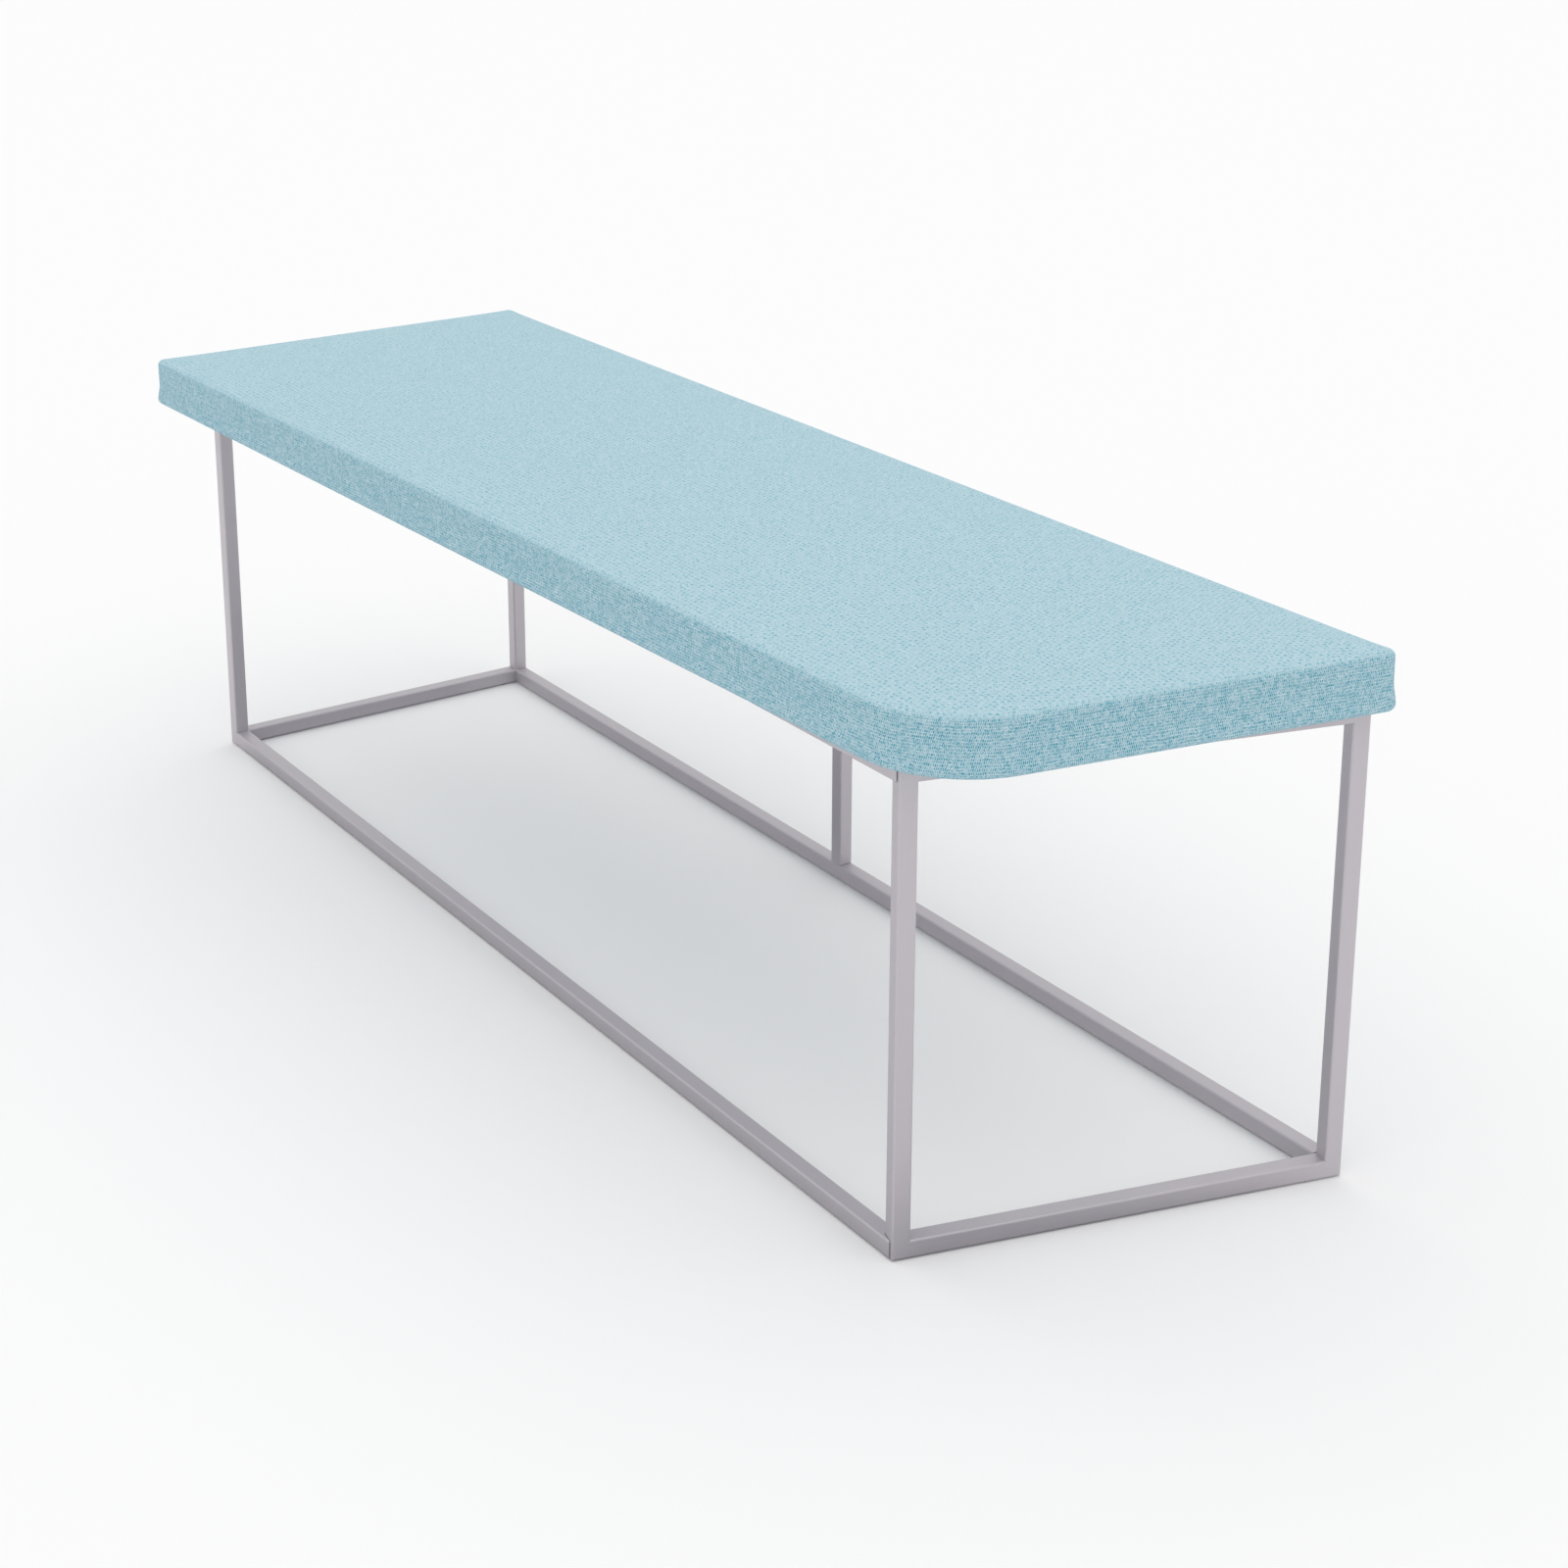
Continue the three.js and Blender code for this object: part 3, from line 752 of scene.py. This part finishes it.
@dataclass(frozen=True)
class PadPlan:
    """The pad's outline: four straight edges between sharp corners, each corner rounded.

    The corners run front left, front right, back right, back left. Each side of the outline goes from the
    middle of one corner's arc to the middle of the next, so that opposite sides can carry the same stations.
    """

    corners: tuple[tuple[float, float], ...] = (
        (-0.68003, -0.21722),
        (0.60652, -0.17186),
        (0.68208, 0.21687),
        (-0.68003, 0.21687),
    )
    radii: tuple[float, ...] = (0.0094, 0.095, 0.0094, 0.0094)
    arc_steps: tuple[int, ...] = (4, 10, 4, 4)
    long_steps: int = 140
    short_steps: int = 46
    sharpest: float = 0.0004

    def side_steps(self) -> tuple[int, ...]:
        """Give the number of steps along the front, right, back and left sides."""
        return (self.long_steps, self.short_steps, self.long_steps, self.short_steps)

    def edges(self) -> tuple[np.ndarray, np.ndarray]:
        """Give the sharp corners, and the direction of the edge that leaves each, one long."""
        sharp = np.array(self.corners)
        edge = np.roll(sharp, -1, axis=0) - sharp
        return sharp, edge / np.linalg.norm(edge, axis=1, keepdims=True)

    def loop(self, inset: float) -> np.ndarray:
        """Give the outline moved inwards.

        Each corner's arc is centred where its two edges meet after both move in by the inset and the arc's
        radius. Half of an arc has its own number of steps, and the straight part takes the rest evenly.

        Args:
            inset: Distance from the outline, in metres.

        Returns:
            The points of one anticlockwise turn, from the middle of the front left arc.
        """
        sharp, edge = self.edges()
        before = np.roll(edge, 1, axis=0)
        inward = np.stack([-edge[:, 1], edge[:, 0]], axis=1)
        arms = np.maximum(np.array(self.radii) - inset, self.sharpest)
        shift = (inset + arms)[:, None]
        moved = sharp + shift * np.roll(inward, 1, axis=0)
        gap = sharp + shift * inward - moved
        across = before[:, 0] * edge[:, 1] - before[:, 1] * edge[:, 0]
        along = (gap[:, 0] * edge[:, 1] - gap[:, 1] * edge[:, 0]) / across
        middles = moved + along[:, None] * before
        starts = np.arctan2(-before[:, 0], before[:, 1])
        turns = (np.arctan2(-edge[:, 0], edge[:, 1]) - starts) % (2 * math.pi)
        sides = []
        for side, steps in enumerate(self.side_steps()):
            ahead = (side + 1) % 4
            out = starts[side] + turns[side] * np.linspace(0.5, 1.0, self.arc_steps[side] + 1)
            into = starts[ahead] + turns[ahead] * np.linspace(0.0, 0.5, self.arc_steps[ahead] + 1)
            first = middles[side] + arms[side] * np.stack([np.cos(out), np.sin(out)], axis=1)
            last = middles[ahead] + arms[ahead] * np.stack([np.cos(into), np.sin(into)], axis=1)
            straight = steps - self.arc_steps[side] - self.arc_steps[ahead]
            share = np.linspace(0.0, 1.0, straight + 1)[1:-1, None]
            between = first[-1] + share * (last[0] - first[-1])
            sides.append(np.concatenate([first, between, last])[:-1])
        return np.concatenate(sides)

    def patch_numbers(self, ring: np.ndarray, inside_from: int) -> np.ndarray:
        """Number the points of a face that fills the outline.

        Args:
            ring: Numbers of the outline's points.
            inside_from: Number of the first inner point.

        Returns:
            Numbers in a grid, with the front side along its first column.
        """
        n, m = self.long_steps, self.short_steps
        numbers = np.empty((n + 1, m + 1), dtype=np.int64)
        closed = np.append(ring, ring[0])
        numbers[:, 0] = closed[: n + 1]
        numbers[n, :] = closed[n : n + m + 1]
        numbers[::-1, m] = closed[n + m : 2 * n + m + 1]
        numbers[0, ::-1] = closed[2 * n + m :]
        numbers[1:n, 1:m] = inside_from + np.arange((n - 1) * (m - 1)).reshape(n - 1, m - 1)
        return numbers

    def patch_inside(self, loop: np.ndarray) -> np.ndarray:
        """Fill an outline with inner points by a Coons patch.

        A point is the blend of front and back at its share across, plus the blend of left and right at its
        share along, less the blend of the four corners. The shares are lengths along the sides.

        Args:
            loop: The outline's points.

        Returns:
            The inner points, row by row along the front.
        """
        n, m = self.long_steps, self.short_steps
        closed = np.concatenate([loop, loop[:1]])
        front, right = closed[: n + 1], closed[n : n + m + 1]
        back, left = closed[n + m : 2 * n + m + 1][::-1], closed[2 * n + m :][::-1]

        def share(one: np.ndarray, other: np.ndarray) -> np.ndarray:
            """Give the mean share of length along two opposite sides."""
            runs = [run_lengths(line) for line in (one, other)]
            return sum(run / run[-1] for run in runs) / 2

        s = share(front, back)[:, None, None]
        t = share(left, right)[None, :, None]
        ruled = (1 - t) * front[:, None] + t * back[:, None] + (1 - s) * left[None] + s * right[None]
        pinned = (1 - s) * ((1 - t) * front[0] + t * back[0]) + s * ((1 - t) * front[-1] + t * back[-1])
        return (ruled - pinned)[1:n, 1:m].reshape(-1, 2)


@dataclass(frozen=True)
class Filling:
    """How the cover gives while it is filled, by the names of the cloth simulation's settings."""

    quality: int = 6
    mass: float = 0.4
    tension_stiffness: float = 60.0
    compression_stiffness: float = 60.0
    shear_stiffness: float = 30.0
    bending_stiffness: float = 8.0
    use_pressure: bool = True
    uniform_pressure_force: float = 4.0


@dataclass
class SeatPad:
    """The upholstered pad: cover, wadding and foam as one firm padded form, turned under at its foot."""

    plan: PadPlan = field(default_factory=PadPlan)
    cloth: WovenCloth = field(default_factory=WovenCloth)
    filling: Filling = field(default_factory=Filling)
    bottom: float = 0.4015
    top: float = 0.4515
    edge_radius: float = 0.0067
    crown: float = 0.0012
    crown_reach: float = 0.150
    turn_under: float = 0.022
    cover: float = 0.0012
    cover_lean: float = 0.0002
    smaller: float = 0.0011
    held_fade: float = 0.012
    most_swell: float = 0.0016
    frames: int = 20
    roll_steps: int = 6
    wall_steps: int = 8
    band_steps: int = 3

    def profile(self) -> np.ndarray:
        """Give the pad's edge from the top's rim to the inner rim of the turned cover.

        It is a quarter round of the edge radius, the upright wall, a quarter round at the foot, the flat
        turned band and the small step up to the board.

        Returns:
            Rows of inset and height.
        """
        r = self.edge_radius
        turn = np.linspace(0.0, QUARTER_TURN, self.roll_steps + 1)
        upper = np.stack([r - r * np.sin(turn), self.top - r + r * np.cos(turn)], axis=1)
        wall_height = np.linspace(self.top - r, self.bottom + r, self.wall_steps + 1)[1:-1]
        wall = np.stack([np.zeros_like(wall_height), wall_height], axis=1)
        lower = np.stack([r - r * np.cos(turn), self.bottom + r - r * np.sin(turn)], axis=1)
        band_inset = np.linspace(r, self.turn_under, self.band_steps + 1)[1:]
        band = np.stack([band_inset, np.full(self.band_steps, self.bottom)], axis=1)
        step = np.array([[self.turn_under + self.cover_lean, self.bottom + self.cover]])
        return np.concatenate([upper, wall, lower, band, step])

    def rise(self, points: np.ndarray) -> np.ndarray:
        """Give the crown's height: it grows with the distance to the outline, fast and then level.

        Args:
            points: Places in plan.

        Returns:
            Heights over the top's rim.
        """
        sharp, edge = self.plan.edges()
        offset = points[:, None, :] - sharp[None]
        distance = (edge[None, :, 0] * offset[:, :, 1] - edge[None, :, 1] * offset[:, :, 0]).min(axis=1)
        reach = np.clip((distance - self.edge_radius) / self.crown_reach, 0.0, 1.0)
        return self.crown * (1 - (1 - reach) ** 2)

    def shape(self) -> bpy.types.Object:
        """Build the closed form: profile rings carried round the outline, a crowned top and a flat base.

        Returns:
            The pad's object, with its cloth coordinates and its side weights.
        """
        profile = self.profile()
        rings = np.stack([self.plan.loop(inset) for inset, _ in profile])
        count = rings.shape[1]
        heights = np.repeat(profile[:, 1], count).reshape(len(profile), count, 1)
        wall = np.concatenate([rings, heights], axis=2).reshape(-1, 3)
        top_inside = self.plan.patch_inside(rings[0])
        base_inside = self.plan.patch_inside(rings[-1])
        top = np.column_stack([top_inside, self.top + self.rise(top_inside)])
        base = np.column_stack([base_inside, np.full(len(base_inside), profile[-1, 1])])
        points = np.concatenate([wall, top, base])

        numbers = np.arange(len(wall)).reshape(len(profile), count)
        top_numbers = self.plan.patch_numbers(numbers[0], len(wall))
        base_numbers = self.plan.patch_numbers(numbers[-1], len(wall) + len(top))
        strip = grid_faces(closed_rows(numbers))
        cap = grid_faces(top_numbers)
        foot = grid_faces(base_numbers)[:, ::-1]
        made = mesh_object("pad_cover", points, np.concatenate([strip, cap, foot]))

        widest = rings[self.roll_steps]
        run = run_lengths(np.concatenate([widest, widest[:1]]))
        fall_grid, run_grid = np.meshgrid(-run_lengths(profile), run, indexing="ij")
        around = np.stack([run_grid, fall_grid], axis=2).reshape(-1, 2)
        strip_corners = around[grid_faces(np.arange(around.shape[0]).reshape(run_grid.shape))]
        flat_corners = points[np.concatenate([cap, foot])][:, :, :2]
        set_corner_map(made, np.concatenate([strip_corners, flat_corners]).reshape(-1, 2))

        side = made.data.attributes.new(Layer.SIDE.value, "FLOAT", "POINT")
        drop = np.clip((self.top - points[:, 2]) / self.edge_radius, 0.0, 1.0)
        side.data.foreach_set("value", (drop * drop * (3 - 2 * drop)).astype(np.float32))
        return made

    def swell(self, made: bpy.types.Object) -> None:
        """Fill the pad by a cloth simulation under pressure, with its foot held to the board.

        The form starts a little smaller. What each point moves is capped by the hyperbolic tangent of its
        share of the cap, so the field stays smooth and the edges stay firm.

        Args:
            made: The pad's object.
        """
        mesh = made.data
        rest = read_points(mesh)
        normals = np.empty(len(rest) * 3)
        mesh.vertices.foreach_get("normal", normals)
        loose = np.clip((rest[:, 2] - self.bottom - self.edge_radius) / self.held_fade, 0.0, 1.0)[:, None]
        start = rest - normals.reshape(-1, 3) * self.smaller * loose
        write_points(mesh, start)
        held = made.vertex_groups.new(name="held")
        held.add(np.flatnonzero(loose[:, 0] <= 0.0).tolist(), 1.0, "REPLACE")
        filling = made.modifiers.new("filling", "CLOTH")
        settings = filling.settings
        for name, value in vars(self.filling).items():
            setattr(settings, name, value)
        settings.vertex_group_mass = held.name
        settings.effector_weights.gravity = 0.0
        scene = bpy.context.scene
        for number in range(1, self.frames + 1):
            scene.frame_set(number)
        filled = made.evaluated_get(bpy.context.evaluated_depsgraph_get())
        moved = read_points(filled.data) - start
        made.modifiers.remove(filling)
        made.vertex_groups.remove(held)
        scene.frame_set(1)
        length = np.linalg.norm(moved, axis=1, keepdims=True)
        share = np.tanh(length / self.most_swell) * self.most_swell / np.maximum(length, TINY)
        LOG.info("pad swelled by %.2f mm at most before the cap", MM_PER_M * float(length.max()))
        write_points(mesh, start + moved * share)

    def build(self) -> bpy.types.Object:
        """Make, fill, refine and dress the pad.

        Returns:
            The finished pad.
        """
        made = self.shape()
        self.swell(made)
        finer = made.modifiers.new("finer", "SUBSURF")
        finer.levels = finer.render_levels = 1
        settle(made, self.cloth.material(), "woven_cover", "fabric_cover", "wadding_wrap", "foam_pad")
        LOG.info("built %s, %d faces", made.name, len(made.data.polygons))
        return made


@dataclass
class Underside:
    """The lining that closes the pad's underside, with its folded hem and its staples."""

    plan: PadPlan = field(default_factory=PadPlan)
    cloth: LiningCloth = field(default_factory=LiningCloth)
    wire: ZincPlate = field(default_factory=ZincPlate)
    level: float = 0.4022
    hem_inset: float = 0.0225
    hem_width: float = 0.012
    hem_drop: float = 0.00025
    hem_slopes: Span = (0.0005, 0.0006)
    pucker: float = 0.00012
    pucker_shares: tuple[float, ...] = (1.0, 1.0, 0.3, 0.0)
    staple_pitch: float = 0.030
    staple_length: float = 0.010
    staple_wire: float = 0.0007
    staple_flat: Span = (0.7, 0.3)
    staple_sink: float = 0.25
    staple_skew: float = 0.07
    staple_seed: int = 7
    staple_sides: int = 6
    staple_stations: tuple[float, ...] = (-0.5, -0.47, -0.4, 0.0, 0.4, 0.47, 0.5)
    staple_lifts: tuple[float, ...] = (0.0006, 0.0002, 0.0, 0.0, 0.0, 0.0002, 0.0006)
    staple_look_ahead: float = 0.002

    def lining(self) -> bpy.types.Object:
        """Build the lining as a Coons patch in its hem, with a small pucker between staples.

        The hem is thicker than the field, so its band hangs lower, and its height follows a wave along the
        outline whose period is the staple pitch.

        Returns:
            The lining.
        """
        outer, inner = self.hem_inset, self.hem_inset + self.hem_width
        insets = (outer, outer + self.hem_slopes[0], inner, inner + self.hem_slopes[1])
        drops = np.array([0.0, self.hem_drop, self.hem_drop, 0.0])
        rings = np.stack([self.plan.loop(inset) for inset in insets])
        count = rings.shape[1]
        run = np.cumsum(np.linalg.norm(np.diff(rings[1], axis=0, prepend=rings[1][-1:]), axis=1))
        wave = self.pucker * np.sin(2 * math.pi * run / self.staple_pitch)
        heights = self.level - drops[:, None] + wave[None] * np.array(self.pucker_shares)[:, None]
        band = np.concatenate([rings, heights[:, :, None]], axis=2).reshape(-1, 3)
        inside = self.plan.patch_inside(rings[-1])
        field_points = np.column_stack([inside, np.full(len(inside), self.level)])
        points = np.concatenate([band, field_points])
        numbers = np.arange(len(band)).reshape(len(insets), count)
        patch = self.plan.patch_numbers(numbers[-1], len(band))
        faces = np.concatenate([grid_faces(closed_rows(numbers)), grid_faces(patch)[:, ::-1]])
        made = mesh_object("pad_lining", points, faces)
        set_corner_map(made, points[faces][:, :, :2].reshape(-1, 2))
        settle(made, self.cloth.material(), "lining_cloth", "underside_lining")
        corner = self.plan.loop(self.hem_inset)
        return made

    def staples(self) -> bpy.types.Object:
        """Build the row of staples along the hem.

        Each is a flat oval wire: its section is carried along a short crown whose ends turn up into the hem.

        Returns:
            All the staples as one object.
        """
        middle = self.plan.loop(self.hem_inset + self.hem_width / 2)
        closed = np.concatenate([middle, middle[:1]])
        run = run_lengths(closed)
        count = int(run[-1] // self.staple_pitch)
        stations = (np.arange(count) + 0.5) * run[-1] / count
        centre, ahead = (
            np.stack([np.interp(stations + offset, run, closed[:, axis]) for axis in (0, 1)], axis=1)
            for offset in (0.0, self.staple_look_ahead)
        )
        skew = np.random.default_rng(self.staple_seed).normal(0.0, self.staple_skew, count)
        heading = np.arctan2(*(ahead - centre).T[::-1]) + skew
        along = np.stack([np.cos(heading), np.sin(heading)], axis=1)
        across = np.stack([-along[:, 1], along[:, 0]], axis=1)
        crown = np.array(self.staple_stations) * self.staple_length
        angle = np.linspace(0.0, 2 * math.pi, self.staple_sides + 1)[:-1]
        ring = np.stack([np.cos(angle), np.sin(angle)], axis=1) * self.staple_wire * np.array(self.staple_flat)
        plan = (
            centre[:, None, None]
            + along[:, None, None] * crown[None, :, None, None]
            + across[:, None, None] * ring[None, None, :, :1]
        )
        level = self.level - self.hem_drop - self.staple_wire * self.staple_sink + np.array(self.staple_lifts)
        height = np.broadcast_to(level[None, :, None] + ring[None, None, :, 1], plan.shape[:3])
        points = np.concatenate([plan, height[..., None]], axis=3)
        numbers = np.arange(points[..., 0].size).reshape(points.shape[:3])
        halves = np.array([[0, 1, 2, 3], [0, 3, 4, 5]])
        ends = (numbers[0, 0][halves][:, ::-1], numbers[0, -1][halves])
        one = np.concatenate([grid_faces(closed_rows(numbers[0]))[:, ::-1], *ends])
        faces = (one[None] + numbers[0].size * np.arange(count)[:, None, None]).reshape(-1, 4)
        made = mesh_object("lining_staples", points.reshape(-1, 3), faces)
        settle(made, self.wire.material("staple_wire"), "zinc_plate")
        LOG.info("built %s, %d staples", made.name, count)
        return made

    def build(self) -> None:
        """Make the lining and its staples."""
        self.lining()
        self.staples()


@dataclass(frozen=True)
class EndLoop:
    """Where one mitred loop stands: its front outer corner in plan, its turn from +X and its length."""

    corner: tuple[float, float]
    turn: float
    length: float


@dataclass
class BenchFrame:
    """The square tubes, the cross rail and the seat tabs, all in one paint, with ground welds in the mitres."""

    paint: SatinPaint = field(default_factory=SatinPaint)
    parts: tuple[str, ...] = ("rail", "leg", "seat_tab")
    loops: tuple[EndLoop, ...] = (
        EndLoop((-0.66253, -0.15413), 90.0, 0.369),
        EndLoop((0.55347, -0.15413), 74.4, 0.381),
    )
    floor_gap: float = 0.0012
    height: float = 0.400
    tube: float = 0.015
    tube_round: float = 0.0018
    weld_depth: float = 0.0015
    weld_round: float = 0.0006
    weld_inset: float = 0.00003
    mitre_gap: float = 0.0003
    arc_steps: int = 4

    def section(self, inset: float, radius: float) -> np.ndarray:
        """Give a rounded square inside the tube's outline: four quarter arcs joined by straight sides.

        Args:
            inset: Distance from the tube's faces.
            radius: Radius of the corners.

        Returns:
            Rows of place across and place up, anticlockwise.
        """
        turn = np.linspace(0.0, QUARTER_TURN, self.arc_steps + 1)[None] + QUARTER_TURN * np.arange(4)[:, None]
        arm = self.tube / 2 - inset - radius
        middle = arm * np.array([[1, 1], [-1, 1], [-1, -1], [1, -1]])
        arc = radius * np.stack([np.cos(turn), np.sin(turn)], axis=2)
        return (middle[:, None] + arc).reshape(-1, 2) + self.tube / 2

    def weld(self, loop: EndLoop, along: int, up: int) -> tuple[np.ndarray, np.ndarray]:
        """Build the ring of weld in one mitre.

        Each point of the tube's section lies on the plane halfway between the two tubes, as far along the
        loop as it is up. Both edges of the ring stand half a gap from that plane. The rows go over the
        outer face and back over the inner one, so the ring is closed.

        Args:
            loop: The loop.
            along: 1 for the front corner, -1 for the back one.
            up: 1 for the lower corner, -1 for the upper one.

        Returns:
            The points and the quads.
        """
        outer = self.section(self.weld_inset, self.tube_round)
        inner = self.section(self.weld_depth, self.weld_round)
        rows = np.stack([outer, outer, inner, inner])
        off = self.mitre_gap / 2 / math.sqrt(2) * np.array([-1.0, 1.0, 1.0, -1.0])[:, None]
        start = 0.0 if along > 0 else loop.length
        base = self.floor_gap + (0.0 if up > 0 else self.height)
        run = start + along * (rows[:, :, 1] + off)
        rise = base + up * (rows[:, :, 1] - off)
        turn = math.radians(loop.turn)
        x = loop.corner[0] + run * math.cos(turn) - rows[:, :, 0] * math.sin(turn)
        y = loop.corner[1] + run * math.sin(turn) + rows[:, :, 0] * math.cos(turn)
        numbers = np.arange(run.size).reshape(run.shape)
        faces = grid_faces(np.pad(numbers, ((0, 1), (0, 1)), mode="wrap"))
        return np.stack([x, y, rise], axis=2).reshape(-1, 3), faces[:, ::-1] if along * up > 0 else faces

    def welds(self, material: bpy.types.Material) -> bpy.types.Object:
        """Fill the eight mitres.

        Args:
            material: The paint.

        Returns:
            All the welds as one object.
        """
        made = [self.weld(loop, along, up) for loop in self.loops for along in (1, -1) for up in (1, -1)]
        points = np.concatenate([one for one, _ in made])
        faces = np.concatenate([quads + len(made[0][0]) * place for place, (_, quads) in enumerate(made)])
        ground = mesh_object("mitre_welds", points, faces, smooth=False)
        settle(ground, material, "frame_paint")
        LOG.info("built %s, %d mitres", ground.name, len(made))
        return ground

    def build(self) -> None:
        """Paint every tube and tab, and fill the mitres."""
        material = self.paint.material()
        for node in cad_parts:
            if any(part in node for part in self.parts):
                dress(node, material)
        self.welds(material)


@dataclass
class Fixings:
    """Screws, tee nuts, the board and the floor glides."""

    zinc: ZincPlate = field(default_factory=ZincPlate)
    nylon: MouldedNylon = field(default_factory=MouldedNylon)
    ply: BirchPly = field(default_factory=BirchPly)

    def build(self) -> None:
        """Dress the fixings by the word in their names."""
        finishes = {
            "seat_screw": self.zinc.material(),
            "tee_nut": self.zinc.material("zinc_nut"),
            "floor_glide": self.nylon.material(),
            "base_board": self.ply.material(),
        }
        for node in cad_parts:
            for word, material in finishes.items():
                if word in node:
                    dress(node, material)


@dataclass
class Studio:
    """Pale floor, soft overhead light and the camera."""

    floor_half: float = 30.0
    floor_lines: int = 9
    # The seen floor, lighter under the bench as painted light that lifts the bench's shadow.
    floor: StudioFloor = field(default_factory=StudioFloor)
    flag: StudioFloor = StudioFloor(
        "bounce_flag", (0.38, 0.39, 0.42), (0.96, 0.96, 0.96), half=(0.595, 0.12), far_reach=0.11
    )
    flag_drop: float = 0.001
    camera_place: tuple[float, float, float] = (1.9417, -1.2137, 1.1338)
    camera_yaw: float = 146.073
    camera_pitch: float = 15.78
    camera_focus_px: float = 2706.5
    image_px: float = 1600.0
    camera_shift: Span = (0.0202, -0.22)
    camera_sensor: float = 36.0
    camera_far: float = 200.0
    skyline: float = 1.0
    walls: float = 0.75
    walls_span: Span = (0.05, 0.3)
    overhead: float = 1.28
    overhead_span: Span = (0.45, 0.9)

    def build(self) -> None:
        """Set the stage."""
        self.lay_floor()
        self.light()
        self.shoot()
        bpy.context.scene.view_settings.view_transform = "Standard"

    def level_sheet(self, look: StudioFloor, height: float) -> bpy.types.Object:
        """Lay a level grid.

        Args:
            look: Its finish, which also names it.
            height: Its level.

        Returns:
            The sheet.
        """
        line = np.linspace(-self.floor_half, self.floor_half, self.floor_lines)
        x, y = np.meshgrid(line, line, indexing="ij")
        points = np.stack([x, y, np.full_like(x, height)], axis=2).reshape(-1, 3)
        made = mesh_object(look.name, points, grid_faces(np.arange(x.size).reshape(x.shape)))
        made.data.materials.append(look.material())
        return made

    def lay_floor(self) -> None:
        """Lay the pale floor that is seen, and the flag that takes most of its bounce off the bench's foot."""
        seen = self.level_sheet(self.floor, 0.0)
        seen.visible_diffuse = seen.visible_glossy = seen.visible_shadow = False
        flag = self.level_sheet(self.flag, -self.flag_drop)
        flag.visible_camera = False

    def light(self) -> None:
        """Light the bench with a white sky: a broad soft light overhead, dimmer walls and a white skyline.

        The strength follows the sine of the elevation. It falls from the skyline to the walls in one smooth
        step, and rises from the walls to the overhead light in another.
        """
        world = bpy.data.worlds.new("studio_sky")
        world.use_nodes = True
        s = NodeSheet(world.node_tree)
        _, _, height = s.split(s.node("TexCoord").outputs["Generated"])
        lower = s.ramp(height, *self.walls_span, self.skyline, self.walls)
        upper = s.ramp(height, *self.overhead_span, 0.0, self.overhead - self.walls)
        sky = world.node_tree.nodes["Background"]
        sky.inputs["Color"].default_value = (1.0, 1.0, 1.0, 1.0)
        s.feed(sky.inputs["Strength"], s.math("ADD", lower, upper))
        bpy.context.scene.world = world

    def shoot(self) -> None:
        """Set the camera at the measured place, turned by yaw in plan and tipped down by its pitch."""
        data = bpy.data.cameras.new("camera")
        data.sensor_width = self.camera_sensor
        data.lens = self.camera_sensor * self.camera_focus_px / self.image_px
        data.shift_x, data.shift_y = self.camera_shift
        data.clip_end = self.camera_far
        made = bpy.data.objects.new("camera", data)
        made.location = self.camera_place
        made.rotation_euler = (
            math.radians(90.0 - self.camera_pitch),
            0.0,
            math.radians(self.camera_yaw - 90.0),
        )
        bpy.context.scene.collection.objects.link(made)
        bpy.context.scene.camera = made


def main() -> None:
    """Build the scene in order."""
    logging.basicConfig(level=logging.INFO, format="%(name)s: %(message)s")
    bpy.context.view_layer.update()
    Studio().build()
    BenchFrame().build()
    Fixings().build()
    SeatPad().build()
    Underside().build()


if __name__ == "__main__":
    main()
